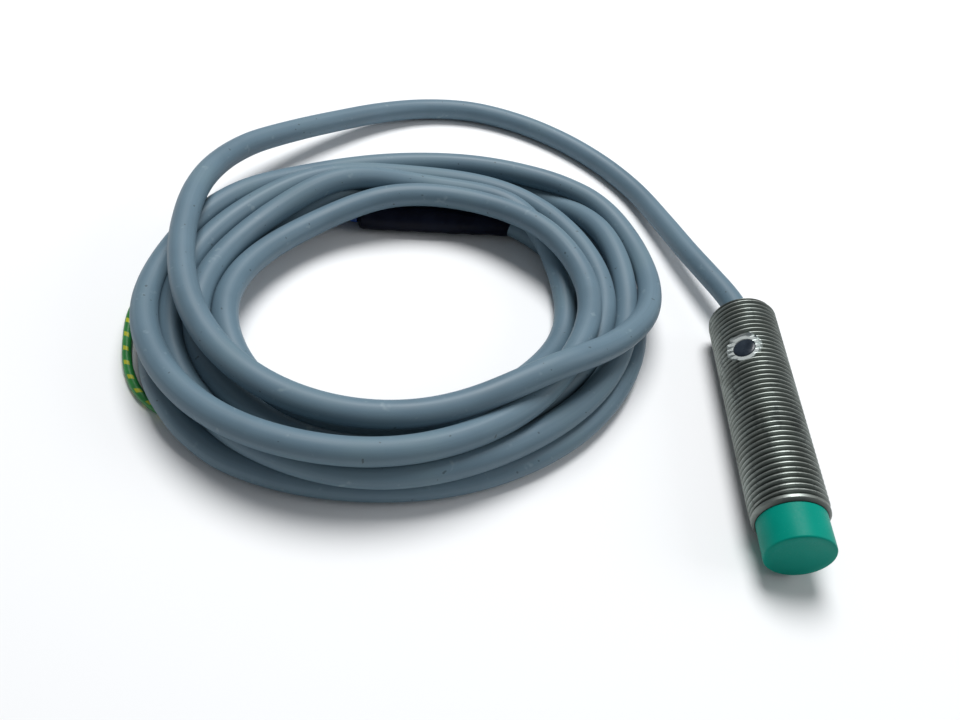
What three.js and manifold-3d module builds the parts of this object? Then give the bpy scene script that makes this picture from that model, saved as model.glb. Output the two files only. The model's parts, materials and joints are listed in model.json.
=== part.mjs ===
// Cylindrical proximity sensor, M12 x 1, with its moulded-on cable lying in a coil.
//
// Millimetres, +Z up, Z = 0 is the surface that everything lies on.  The threaded
// barrel lies along Y: the sensing face looks along -Y and the cable leaves at +Y.
// The origin is on that surface, under the middle of the 50 mm long sensor.

import * as THREE from 'three';
import { mergeVertices } from 'three/addons/utils/BufferGeometryUtils.js';
import Module from 'manifold-3d';

const wasm = await Module();
wasm.setup();

// ---------------------------------------------------------------- driving sizes

const GAP = 0.3; // clearance between pieces that touch on the real sensor

const THREAD_R = 6.0; // M12 crest radius
const PITCH = 1.0; // fine thread
const THREAD_DEPTH = 0.613; // external thread depth for a 1 mm pitch
const AXIS_Z = THREAD_R; // the barrel rests on its thread crests
const THREAD_SIDES = 24;

const BARREL_FRONT = -19.0;
const BARREL_REAR = 25.0;
const RIM_CHAMFER = 0.7;
const RIM_LENGTH = 1.0; // plain rim in front of the first thread
const RIM_R = 5.9;
const RIM_EDGE = 0.45; // bevel on the front of the rim
const TRIM = 0.2; // how far the trimming outline stands clear of the thread
const BORE_R = 4.8;

const FACE_Y = -25.0; // sensing face
const CAP_R = 5.3;
const CAP_EDGE = 0.35;
const CAP_FACE_WALL = 0.8;
const CAVITY_R = 3.8;
const SKIRT_END = -15.0;

const WINDOW_Y = 13.1; // indicator window, measured along the barrel
const WINDOW_TURN = -38 * THREE.MathUtils.DEG2RAD; // from straight up, towards -X
const WINDOW_R = 2.05;
const SPOT_R = 3.0;
const SPOT_FLAT = 5.2; // distance of the spot face from the barrel's axis
const CUT_FROM = 3.0; // the window's cutter runs from here, off the barrel's axis,
const CUT_TO = 8.0; // to here, well outside the thread

const CABLE_R = 2.15;
const CORE_R = 0.75;
const JACKET_START = 18.6; // where the jacket begins inside the barrel

const COIL_CENTRE = new THREE.Vector3(-60, 19, 0);
const COIL_TURN = 45 * THREE.MathUtils.DEG2RAD; // direction of the oval's long axis
const COIL_LONG = 1.08; // stretch of the ring along its long axis
const COIL_SHORT = 0.92;
const COIL_OUTER = 44.0;
const COIL_INNER = 26.0;
const COIL_STEP = 36.0; // the lower turns lie outside this radius
const COIL_LOW = 2.0;
const COIL_STEP_Z = 6.2;
const COIL_TOP = 14.4;
const COIL_EDGE = 2.0; // bevel on the ring's corners

const SLEEVE_R = 2.8;
const SLEEVE_EDGE = 0.8; // bevel on the sleeve's ends
const SLEEVE_FROM = new THREE.Vector3(-40.5, 47.9, SLEEVE_R);
const SLEEVE_TO = new THREE.Vector3(-72.0, 42.6, SLEEVE_R);

// ---------------------------------------------------------------- materials

function finish(colour, roughness, metalness) {
  return new THREE.MeshStandardMaterial({ color: colour, roughness, metalness });
}

const NICKEL = finish(0x8f9690, 0.35, 0.9);
const CAP_PLASTIC = finish(0x059680, 0.45, 0.0);
const FERRITE = finish(0x2b2b2e, 0.7, 0.1);
const NATURAL_NYLON = finish(0xd8d2c0, 0.6, 0.0);
const COPPER = finish(0xb0622f, 0.35, 0.9);
const BOARD = finish(0x1d5a38, 0.5, 0.0);
const CHIP_BLACK = finish(0x1b1b1d, 0.5, 0.0);
const CERAMIC = finish(0xb59a78, 0.5, 0.0);
const LED_BODY = finish(0xe8e6d8, 0.3, 0.0);
const CLEAR = finish(0xcfd8dc, 0.1, 0.0);
const LENS_SMOKE = finish(0x212a35, 0.15, 0.0);
const BRASS = finish(0xb59a4a, 0.35, 0.9);
const RESIN = finish(0x2c3a3c, 0.4, 0.0);
const BUSHING_GREEN = finish(0x0d6f62, 0.55, 0.0);
const JACKET_GREY = finish(0x77868f, 0.55, 0.0);
const SLEEVE_BLACK = finish(0x0c0f16, 0.45, 0.0);
const CORE_BROWN = finish(0x5a3420, 0.5, 0.0);
const CORE_BLUE = finish(0x1f4fa0, 0.5, 0.0);
const CORE_EARTH = finish(0x1e7d32, 0.5, 0.0);
const TINNED = finish(0xb8bcc0, 0.3, 0.9);

// ---------------------------------------------------------------- helpers

function weld(geometry) {
  const bare = geometry.clone();
  bare.deleteAttribute('normal');
  bare.deleteAttribute('uv');
  return mergeVertices(bare, 1e-4);
}

function toSolid(geometry) {
  const welded = weld(geometry);
  const vertProperties = new Float32Array(welded.attributes.position.array);
  const triVerts = new Uint32Array(welded.index.array);
  return new wasm.Manifold(new wasm.Mesh({ numProp: 3, vertProperties, triVerts }));
}

function fromSolid(solid) {
  const mesh = solid.getMesh();
  const geometry = new THREE.BufferGeometry();
  geometry.setAttribute('position', new THREE.BufferAttribute(mesh.vertProperties, 3));
  geometry.setIndex(new THREE.BufferAttribute(mesh.triVerts, 1));
  geometry.computeVertexNormals();
  return geometry;
}

// Turned part whose axis is Y; profile points are [radius, y].
function turned(profile, sides = 32) {
  const points = profile.map(([radius, y]) => new THREE.Vector2(radius, y));
  return new THREE.LatheGeometry(points, sides);
}

// Turned ring: the profile is closed back onto its first point.
function ring(profile, sides = 32) {
  return turned([...profile, profile[0]], sides);
}

function plainRing(inner, outer, y0, y1, sides = 32) {
  return ring([[inner, y0], [outer, y0], [outer, y1], [inner, y1]], sides);
}

function rod(radius, y0, y1, sides = 32) {
  return turned([[0, y0], [radius, y0], [radius, y1], [0, y1]], sides);
}

// Straight-sided block with its centre at x, y, z.
function block(width, length, height, x, y, z) {
  const geometry = new THREE.BoxGeometry(width, length, height);
  geometry.translate(x, y, z);
  return geometry;
}

// Round section swept along a smooth curve through the points.
function sweep(points, radius, sides, steps) {
  const route = new THREE.CatmullRomCurve3(points, false, 'centripetal');
  const section = new THREE.Shape();
  for (let i = 0; i < sides; i += 1) {
    const angle = (2 * Math.PI * i) / sides;
    const x = radius * Math.cos(angle);
    const y = radius * Math.sin(angle);
    if (i === 0) section.moveTo(x, y);
    else section.lineTo(x, y);
  }
  section.closePath();
  return new THREE.ExtrudeGeometry(section, { steps, extrudePath: route, bevelEnabled: false });
}

function vectors(list) {
  return list.map(([x, y, z]) => new THREE.Vector3(x, y, z));
}

function piece(name, geometry, material) {
  const mesh = new THREE.Mesh(geometry, material);
  mesh.name = name;
  return mesh;
}

// ---------------------------------------------------------------- barrel

// One helical rod.  Rows of points alternate between root and crest and climb half
// a pitch each; around one turn a row climbs a whole pitch and meets the row after next.
function threadedRod(from, to) {
  const rows = Math.ceil((2 * (to - from)) / PITCH) + 4;
  const start = from - 1.5 * PITCH;
  const positions = [];
  const index = [];
  const at = (row, side) => {
    const wrap = side === THREAD_SIDES ? 1 : 0;
    return (row + 2 * wrap) * THREAD_SIDES + (wrap ? 0 : side);
  };
  for (let row = 0; row < rows + 2; row += 1) {
    const radius = row % 2 ? THREAD_R : THREAD_R - THREAD_DEPTH;
    for (let side = 0; side < THREAD_SIDES; side += 1) {
      const turn = side / THREAD_SIDES;
      const angle = 2 * Math.PI * turn;
      const y = start + (row / 2 + turn) * PITCH;
      positions.push(radius * Math.cos(angle), y, -radius * Math.sin(angle));
    }
  }
  for (let row = 0; row < rows - 1; row += 1) {
    for (let side = 0; side < THREAD_SIDES; side += 1) {
      const a = at(row, side);
      const b = at(row, side + 1);
      const c = at(row + 1, side + 1);
      const d = at(row + 1, side);
      index.push(a, b, c, a, c, d);
    }
  }
  capRod(positions, index, at, 0, start, false);
  capRod(positions, index, at, rows - 1, start + ((rows - 1) / 2) * PITCH + PITCH, true);
  const geometry = new THREE.BufferGeometry();
  geometry.setAttribute('position', new THREE.Float32BufferAttribute(positions, 3));
  geometry.setIndex(index);
  return geometry;
}

// Closes one end of the rod with a fan from a point on the axis.
function capRod(positions, index, at, row, y, flip) {
  const centre = positions.length / 3;
  positions.push(0, y, 0);
  const loop = [];
  for (let side = 0; side <= THREAD_SIDES; side += 1) loop.push(at(row, side));
  loop.push(at(row + 1, 0));
  for (let i = 0; i < loop.length; i += 1) {
    const a = loop[i];
    const b = loop[(i + 1) % loop.length];
    if (flip) index.push(centre, a, b);
    else index.push(centre, b, a);
  }
}

// Everything outside the finished outline is trimmed off the rod: plain rims and chamfers.
function barrelOutline() {
  const root = THREAD_R - THREAD_DEPTH;
  const front = BARREL_FRONT;
  const rear = BARREL_REAR;
  return turned([
    [0, front],
    [root - 0.5 * TRIM, front],
    [root - 0.5 * TRIM, front + RIM_LENGTH],
    [THREAD_R + TRIM, front + RIM_LENGTH + RIM_CHAMFER],
    [THREAD_R + TRIM, rear - RIM_CHAMFER],
    [root - 0.5 * TRIM, rear],
    [0, rear],
  ], 48);
}

function threadedBarrel() {
  const front = BARREL_FRONT;
  const rear = BARREL_REAR;
  const rim = turned([
    [0, front],
    [RIM_R - RIM_EDGE, front],
    [RIM_R, front + RIM_EDGE],
    [RIM_R, front + RIM_LENGTH],
    [RIM_R - RIM_EDGE, front + RIM_LENGTH + RIM_EDGE],
    [0, front + RIM_LENGTH + RIM_EDGE],
  ], 48);
  const bore = rod(BORE_R, front - 1, rear + 1, 48);
  const hole = rod(WINDOW_R, CUT_FROM, CUT_TO, 24);
  const spot = rod(SPOT_R, SPOT_FLAT, CUT_TO, 24);
  const solid = toSolid(threadedRod(front, rear))
    .intersect(toSolid(barrelOutline()))
    .add(toSolid(rim))
    .subtract(toSolid(bore))
    .subtract(toSolid(towardsWindow(hole)))
    .subtract(toSolid(towardsWindow(spot)));
  return piece('threaded_barrel', fromSolid(solid), NICKEL);
}

// Stands a part turned about Y on the barrel's axis, pointing out through the window.
function towardsWindow(geometry) {
  geometry.rotateX(Math.PI / 2);
  geometry.translate(0, WINDOW_Y, 0);
  geometry.rotateY(WINDOW_TURN);
  return geometry;
}

// ---------------------------------------------------------------- sensing end

// Green cup: its front part stands out of the metal, its skirt sits inside the bore.
function sensingCap() {
  const shoulder = BARREL_FRONT - GAP;
  const skirtR = BORE_R - GAP;
  const geometry = turned([
    [0, FACE_Y],
    [CAP_R - CAP_EDGE, FACE_Y],
    [CAP_R - 0.3 * CAP_EDGE, FACE_Y + 0.3 * CAP_EDGE],
    [CAP_R, FACE_Y + CAP_EDGE],
    [CAP_R, shoulder],
    [skirtR, shoulder],
    [skirtR, SKIRT_END],
    [CAVITY_R, SKIRT_END],
    [CAVITY_R, FACE_Y + CAP_FACE_WALL],
    [0, FACE_Y + CAP_FACE_WALL],
  ], 48);
  return piece('sensing_cap', geometry, CAP_PLASTIC);
}

const CORE_FRONT = FACE_Y + CAP_FACE_WALL + GAP;
const CORE_LENGTH = 4.0;
const SLOT_DEPTH = 3.2;
const SLOT_INNER = 1.1;
const SLOT_OUTER = 3.0;
const FERRITE_R = 3.5;

// Half pot core: a cup with a centre post, open towards the sensing face.
function ferriteCore() {
  const back = CORE_FRONT + CORE_LENGTH;
  const floor = CORE_FRONT + SLOT_DEPTH;
  const geometry = turned([
    [0, CORE_FRONT],
    [SLOT_INNER, CORE_FRONT],
    [SLOT_INNER, floor],
    [SLOT_OUTER, floor],
    [SLOT_OUTER, CORE_FRONT],
    [FERRITE_R, CORE_FRONT],
    [FERRITE_R, back],
    [0, back],
  ], 24);
  return piece('ferrite_core', geometry, FERRITE);
}

const BOBBIN_INNER = SLOT_INNER + GAP;
const BOBBIN_HUB = BOBBIN_INNER + 0.25;
const BOBBIN_OUTER = SLOT_OUTER - GAP;
const FLANGE = 0.3;

function coilBobbin() {
  const front = CORE_FRONT;
  const back = CORE_FRONT + SLOT_DEPTH - GAP;
  const geometry = ring([
    [BOBBIN_INNER, front],
    [BOBBIN_OUTER, front],
    [BOBBIN_OUTER, front + FLANGE],
    [BOBBIN_HUB, front + FLANGE],
    [BOBBIN_HUB, back - FLANGE],
    [BOBBIN_OUTER, back - FLANGE],
    [BOBBIN_OUTER, back],
    [BOBBIN_INNER, back],
  ], 24);
  return piece('coil_bobbin', geometry, NATURAL_NYLON);
}

function coilWinding() {
  const front = CORE_FRONT + FLANGE + GAP;
  const back = CORE_FRONT + SLOT_DEPTH - 2 * GAP - FLANGE;
  const inner = BOBBIN_HUB + GAP;
  return piece('coil_winding', plainRing(inner, BOBBIN_OUTER, front, back, 24), COPPER);
}

// ---------------------------------------------------------------- electronics
// These are laid out with the indicator straight up, then turned with the window.

const BOARD_WIDTH = 6.6;
const BOARD_THICK = 0.8;
const BOARD_TOP = -0.6;
const BOARD_FRONT = -18.6;
const BOARD_REAR = 15.6;
const PART_BASE = BOARD_TOP + GAP;
const UNDER_BASE = BOARD_TOP - BOARD_THICK - GAP;
const LED_HEIGHT = 0.8;

function circuitBoard() {
  const length = BOARD_REAR - BOARD_FRONT;
  const middle = (BOARD_REAR + BOARD_FRONT) / 2;
  const height = BOARD_TOP - BOARD_THICK / 2;
  return piece('circuit_board', block(BOARD_WIDTH, length, BOARD_THICK, 0, middle, height), BOARD);
}

const CARRIER_LENGTH = 2.6;

// Disc behind the ferrite, slotted to hold the front edge of the board.
function coreCarrier() {
  const front = CORE_FRONT + CORE_LENGTH + GAP;
  const back = front + CARRIER_LENGTH;
  const slotFront = BOARD_FRONT - GAP;
  const slotBack = back + 1;
  const slot = block(3 * FERRITE_R, slotBack - slotFront, BOARD_THICK + 2 * GAP,
    0, (slotBack + slotFront) / 2, BOARD_TOP - BOARD_THICK / 2);
  const disc = rod(FERRITE_R, front, back);
  return piece('core_carrier', fromSolid(toSolid(disc).subtract(toSolid(slot))), NATURAL_NYLON);
}

function onBoard(name, width, length, height, x, y, material) {
  return piece(name, block(width, length, height, x, y, PART_BASE + height / 2), material);
}

function underBoard(name, width, length, height, x, y, material) {
  return piece(name, block(width, length, height, x, y, UNDER_BASE - height / 2), material);
}

function components() {
  const parts = [
    onBoard('oscillator_chip', 4.0, 5.0, 1.3, 0, -9.5, CHIP_BLACK),
    onBoard('bridge_rectifier', 4.4, 4.2, 1.6, 0, -2.6, CHIP_BLACK),
    onBoard('output_thyristor', 3.6, 4.0, 1.5, 0, 3.6, CHIP_BLACK),
    onBoard('indicator_led', 1.6, 1.2, LED_HEIGHT, 0, WINDOW_Y, LED_BODY),
    underBoard('smoothing_capacitor', 3.2, 5.0, 1.6, 0, 8.6, CERAMIC),
    underBoard('zener_diode', 1.6, 3.4, 1.5, -1.6, 1.5, CHIP_BLACK),
    underBoard('trim_resistor', 3.4, 3.4, 1.3, 0, -8.8, CERAMIC),
  ];
  const capacitorPlaces = [[-1.9, -14.3], [1.9, -14.3]];
  capacitorPlaces.forEach(([x, y], i) => {
    parts.push(onBoard(`capacitor_${i + 1}`, 0.9, 1.8, 0.9, x, y, CERAMIC));
  });
  const resistorPlaces = [[-2.0, 8.2], [-0.65, 8.2], [0.65, 8.2], [2.0, 8.2]];
  resistorPlaces.forEach(([x, y], i) => {
    parts.push(onBoard(`resistor_${i + 1}`, 0.85, 1.7, 0.5, x, y, CHIP_BLACK));
  });
  return parts;
}

const LED_TOP = PART_BASE + LED_HEIGHT;
const GUIDE_R = 1.2;
const LENS_BASE = 4.6;
const LENS_EDGE = 5.15;
const LENS_TOP = 5.5;
const LENS_R = WINDOW_R - GAP;

// Clear rod that carries the light from the board up to the window.
function lightGuide() {
  const geometry = rod(GUIDE_R, LED_TOP + GAP, LENS_BASE - GAP, 16);
  geometry.rotateX(Math.PI / 2);
  geometry.translate(0, WINDOW_Y, 0);
  return piece('light_guide', geometry, CLEAR);
}

function indicatorLens() {
  const profile = [[0, LENS_BASE], [LENS_R, LENS_BASE], [LENS_R, LENS_EDGE]];
  const steps = 4;
  for (let i = 1; i < steps; i += 1) {
    const angle = (Math.PI / 2) * (i / steps);
    const rise = (LENS_TOP - LENS_EDGE) * Math.sin(angle);
    profile.push([LENS_R * Math.cos(angle), LENS_EDGE + rise]);
  }
  profile.push([0, LENS_TOP]);
  const geometry = turned(profile, 24);
  geometry.rotateX(Math.PI / 2);
  geometry.translate(0, WINDOW_Y, 0);
  return piece('indicator_lens', geometry, LENS_SMOKE);
}

// ---------------------------------------------------------------- cable entry

const BARE_CORE_R = 0.65; // a core's radius inside the barrel
const CORE_SPREAD = 0.95; // distance of each core from the middle of the cable
const EARTH_RING = { inner: 4.05, from: 15.9, to: 17.0 };
const CLAMP = { wall: 0.6, from: 19.0, to: 20.6 };
const SEAL_FROM = 20.9;
const SEAL_TO = 22.2;
const BUSHING_TO = BARREL_REAR - 0.2;
const BUSHING_EDGE = 0.4;

function insideCores() {
  const height = PART_BASE + CORE_R;
  const start = JACKET_START - GAP;
  const side = CORE_SPREAD * Math.cos(Math.PI / 6);
  const rise = CORE_SPREAD * Math.sin(Math.PI / 6);
  const brown = vectors([
    [-side, start, rise], [-side, start - 0.8, rise],
    [-2.1, start - 2.6, height], [-2.3, 13.9, height],
  ]);
  const blue = brown.map((p) => new THREE.Vector3(-p.x, p.y, p.z));
  const earth = vectors([
    [0, start, -CORE_SPREAD], [0, start - 0.6, -CORE_SPREAD - 0.1],
    [0, start - 1.5, -2.4], [0, start - 2.1, -2.95],
  ]);
  return [
    piece('core_brown_inner', sweep(brown, BARE_CORE_R, 8, 8), CORE_BROWN),
    piece('core_blue_inner', sweep(blue, BARE_CORE_R, 8, 8), CORE_BLUE),
    piece('core_earth_inner', sweep(earth, BARE_CORE_R, 8, 6), CORE_EARTH),
  ];
}

// Ring that ties the earth core to the metal barrel.
function earthRing() {
  const { inner, from, to } = EARTH_RING;
  return piece('earth_ring', plainRing(inner, BORE_R - GAP, from, to), BRASS);
}

function cableClamp() {
  const inner = CABLE_R + GAP;
  return piece('cable_clamp', plainRing(inner, inner + CLAMP.wall, CLAMP.from, CLAMP.to), BRASS);
}

function rearSeal() {
  return piece('rear_seal', plainRing(CABLE_R + GAP, BORE_R - GAP, SEAL_FROM, SEAL_TO), RESIN);
}

function rearBushing() {
  const inner = CABLE_R + GAP;
  const outer = BORE_R - GAP;
  const geometry = ring([
    [inner, SEAL_TO + GAP],
    [outer, SEAL_TO + GAP],
    [outer, BUSHING_TO - BUSHING_EDGE],
    [outer - BUSHING_EDGE, BUSHING_TO],
    [inner + BUSHING_EDGE, BUSHING_TO],
    [inner, BUSHING_TO - BUSHING_EDGE],
  ]);
  return piece('rear_bushing', geometry, BUSHING_GREEN);
}

// ---------------------------------------------------------------- cable

// From inside the barrel, down to the surface, round in one wide bow and up on to
// the left side of the coil.
const LEAD_ROUTE = [
  [0, JACKET_START, 6.0], [0, 25.0, 6.0], [-1.0, 30.0, 5.9], [-3.6, 36.5, 5.4],
  [-6.8, 44.5, 4.5], [-10.4, 54.5, 3.4], [-15.6, 66.2, 2.5], [-22.4, 74.8, 2.2],
  [-31.0, 81.4, 2.2], [-41.0, 85.9, 2.2], [-52.0, 87.4, 2.3], [-62.5, 85.0, 2.4],
  [-72.0, 79.2, 3.1], [-80.6, 71.0, 4.4], [-88.3, 61.9, 6.2], [-94.4, 53.0, 8.0],
  [-98.0, 44.5, 9.7], [-99.1, 39.2, 10.6],
];

function cableLead() {
  return piece('cable_lead', sweep(vectors(LEAD_ROUTE), CABLE_R, 10, 40), JACKET_GREY);
}

// Outer shape of all the turns together, an oval ring stepped over the end sleeve.
function cableCoil() {
  const geometry = ring([
    [COIL_STEP, COIL_LOW],
    [COIL_OUTER - COIL_EDGE, COIL_LOW],
    [COIL_OUTER, COIL_LOW + COIL_EDGE],
    [COIL_OUTER, COIL_TOP - COIL_EDGE],
    [COIL_OUTER - COIL_EDGE, COIL_TOP],
    [COIL_INNER + COIL_EDGE, COIL_TOP],
    [COIL_INNER, COIL_TOP - COIL_EDGE],
    [COIL_INNER, COIL_STEP_Z],
    [COIL_STEP, COIL_STEP_Z],
  ], 48);
  geometry.rotateX(Math.PI / 2);
  geometry.scale(COIL_LONG, COIL_SHORT, 1);
  const mesh = piece('cable_coil', geometry, JACKET_GREY);
  mesh.position.copy(COIL_CENTRE);
  mesh.rotation.z = COIL_TURN;
  return mesh;
}

// Shrink sleeve over the end of the jacket, lying under the back of the coil.
function endSleeve() {
  const along = new THREE.Vector3().subVectors(SLEEVE_TO, SLEEVE_FROM);
  const length = along.length();
  const geometry = turned([
    [0, 0],
    [SLEEVE_R - SLEEVE_EDGE, 0],
    [SLEEVE_R, SLEEVE_EDGE],
    [SLEEVE_R, length - SLEEVE_EDGE],
    [SLEEVE_R - SLEEVE_EDGE, length],
    [0, length],
  ], 16);
  const mesh = piece('end_sleeve', geometry, SLEEVE_BLACK);
  mesh.position.copy(SLEEVE_FROM);
  mesh.quaternion.setFromUnitVectors(new THREE.Vector3(0, 1, 0), along.normalize());
  return mesh;
}

// The three cores fan out of the sleeve and run on the surface under the coil's left
// side; the green and yellow one shows outside the coil.
const EARTH_ROUTE = [
  [-72.8, 44.0, 2.9], [-76.2, 45.0, 2.2], [-80.4, 44.7, 1.1], [-84.6, 42.6, 0.8],
  [-91.0, 37.5, 0.78], [-98.5, 28.5, 0.78], [-103.4, 19.5, 0.78], [-105.3, 11.4, 0.78],
  [-104.3, 4.2, 0.78], [-102.2, -2.2, 0.78], [-98.9, -7.0, 0.78], [-94.0, -10.0, 0.78],
  [-88.5, -11.6, 0.78],
];
const BROWN_ROUTE = [
  [-72.4, 42.4, 3.6], [-76.6, 43.0, 3.3], [-83.0, 41.4, 1.5], [-89.5, 35.0, 0.8],
  [-95.0, 26.0, 0.78], [-97.8, 16.0, 0.78], [-97.8, 6.5, 0.78], [-95.4, -1.2, 0.78],
  [-91.0, -4.8, 0.78],
];
const BLUE_ROUTE = [
  [-72.5, 43.0, 1.5], [-76.6, 43.6, 1.05], [-82.5, 39.9, 0.85], [-88.0, 32.3, 0.78],
  [-92.3, 23.0, 0.78], [-94.2, 14.0, 0.78], [-92.6, 6.6, 0.78], [-89.8, 1.6, 0.78],
];
const FERRULE_R = 0.7;
const FERRULE_LENGTH = 8.0;

// Tinned end tube carrying on in the direction in which its core ends.
function ferrule(name, route) {
  const [before, end] = vectors(route.slice(-2));
  const along = new THREE.Vector3().subVectors(end, before).normalize();
  const mesh = piece(name, rod(FERRULE_R, GAP, FERRULE_LENGTH, 12), TINNED);
  mesh.position.copy(end);
  mesh.quaternion.setFromUnitVectors(new THREE.Vector3(0, 1, 0), along);
  return mesh;
}

function farEnd() {
  return [
    endSleeve(),
    piece('core_earth', sweep(vectors(EARTH_ROUTE), CORE_R, 8, 28), CORE_EARTH),
    piece('core_brown', sweep(vectors(BROWN_ROUTE), CORE_R, 8, 22), CORE_BROWN),
    piece('core_blue', sweep(vectors(BLUE_ROUTE), CORE_R, 8, 22), CORE_BLUE),
    ferrule('ferrule_earth', EARTH_ROUTE),
    ferrule('ferrule_brown', BROWN_ROUTE),
    ferrule('ferrule_blue', BLUE_ROUTE),
  ];
}

// ---------------------------------------------------------------- assembly

function sensorBody() {
  const body = new THREE.Group();
  body.position.z = AXIS_Z;
  const turnedWithWindow = new THREE.Group();
  turnedWithWindow.rotation.y = WINDOW_TURN;
  turnedWithWindow.add(
    coreCarrier(), circuitBoard(), ...components(), lightGuide(), indicatorLens(),
    ...insideCores(),
  );
  body.add(
    threadedBarrel(), sensingCap(), ferriteCore(), coilBobbin(), coilWinding(),
    turnedWithWindow, earthRing(), cableClamp(), rearSeal(), rearBushing(),
  );
  return body;
}

const proximitySensor = new THREE.Group();
proximitySensor.name = 'proximity_sensor';
proximitySensor.add(sensorBody(), cableLead(), cableCoil(), ...farEnd());

export default proximitySensor;
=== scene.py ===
# Cylindrical proximity sensor, M12 x 1, with two metres of cable in a loose coil.
# Metres, +Z up, the frame of the CAD part: the barrel lies along Y on the surface Z = 0.

import json
import math

import bmesh
import bpy
import numpy as np
from mathutils import Matrix, Vector


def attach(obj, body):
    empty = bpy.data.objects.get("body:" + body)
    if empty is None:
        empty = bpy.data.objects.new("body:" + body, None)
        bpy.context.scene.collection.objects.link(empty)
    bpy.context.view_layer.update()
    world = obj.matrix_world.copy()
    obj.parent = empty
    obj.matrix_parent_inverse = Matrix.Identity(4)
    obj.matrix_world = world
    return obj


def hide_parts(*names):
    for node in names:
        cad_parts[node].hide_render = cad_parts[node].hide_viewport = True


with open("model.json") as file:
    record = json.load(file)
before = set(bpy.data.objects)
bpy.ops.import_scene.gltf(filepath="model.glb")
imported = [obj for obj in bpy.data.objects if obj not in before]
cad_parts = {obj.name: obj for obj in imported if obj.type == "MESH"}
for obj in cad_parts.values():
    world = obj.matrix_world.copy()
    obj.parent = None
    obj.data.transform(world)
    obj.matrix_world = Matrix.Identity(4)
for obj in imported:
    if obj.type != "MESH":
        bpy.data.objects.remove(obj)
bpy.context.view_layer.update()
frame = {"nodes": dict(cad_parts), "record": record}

MM = 0.001
AXIS = np.array([0.0, 0.0, 6.0]) * MM  # the barrel's axis passes here, along Y


# ---------------------------------------------------------------- camera


def make_camera():
    data = bpy.data.cameras.new("camera")
    data.lens = 33.56
    data.sensor_width = 36.0
    data.clip_start = 0.005
    right = Vector((0.9852, 0.0301, 0.1687))
    up = Vector((-0.1387, 0.7181, 0.6819))
    back = right.cross(up).normalized()
    up = back.cross(right).normalized()
    camera = bpy.data.objects.new("camera", data)
    turn = Matrix((right, up, back)).transposed().to_4x4()
    camera.matrix_world = Matrix.Translation(Vector((-62.7, -96.0, 109.8)) * MM) @ turn
    bpy.context.collection.objects.link(camera)
    bpy.context.scene.camera = camera


make_camera()


# ---------------------------------------------------------------- mesh helpers


def new_object(name, mesh):
    obj = bpy.data.objects.new(name, mesh)
    bpy.context.collection.objects.link(obj)
    return obj


def smooth(obj, angle=35):
    for polygon in obj.data.polygons:
        polygon.use_smooth = True
    obj.data.set_sharp_from_angle(angle=math.radians(angle))
    return obj


def spline_through(points, step):
    """Points about step apart on a smooth centripetal curve through the given ones."""
    p = np.asarray(points, float)
    p = np.vstack([2 * p[0] - p[1], p, 2 * p[-1] - p[-2]])
    made = []
    for a, b, c, d in zip(p[:-3], p[1:-2], p[2:-1], p[3:]):
        t = np.cumsum([0.0] + [math.sqrt(np.linalg.norm(v)) for v in (b - a, c - b, d - c)])
        count = max(1, round(float(np.linalg.norm(c - b)) / step))
        for i in range(count):
            u = t[1] + (t[2] - t[1]) * i / count
            ab = a + (b - a) * (u - t[0]) / (t[1] - t[0])
            bc = b + (c - b) * (u - t[1]) / (t[2] - t[1])
            cd = c + (d - c) * (u - t[2]) / (t[3] - t[2])
            abc = ab + (bc - ab) * (u - t[0]) / (t[2] - t[0])
            bcd = bc + (cd - bc) * (u - t[1]) / (t[3] - t[1])
            made.append(abc + (bcd - abc) * (u - t[1]) / (t[2] - t[1]))
    made.append(p[-2])
    return np.array(made)


def length_so_far(points):
    """Length of the line up to each of its points."""
    return np.concatenate([[0], np.cumsum(np.linalg.norm(np.diff(points, axis=0), axis=1))])


def evenly(points, step):
    """The same line with its points evenly spaced."""
    length = length_so_far(points)
    count = max(2, round(length[-1] / step) + 1)
    at = np.linspace(0, length[-1], count)
    return np.stack([np.interp(at, length, points[:, k]) for k in range(3)], 1)


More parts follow.
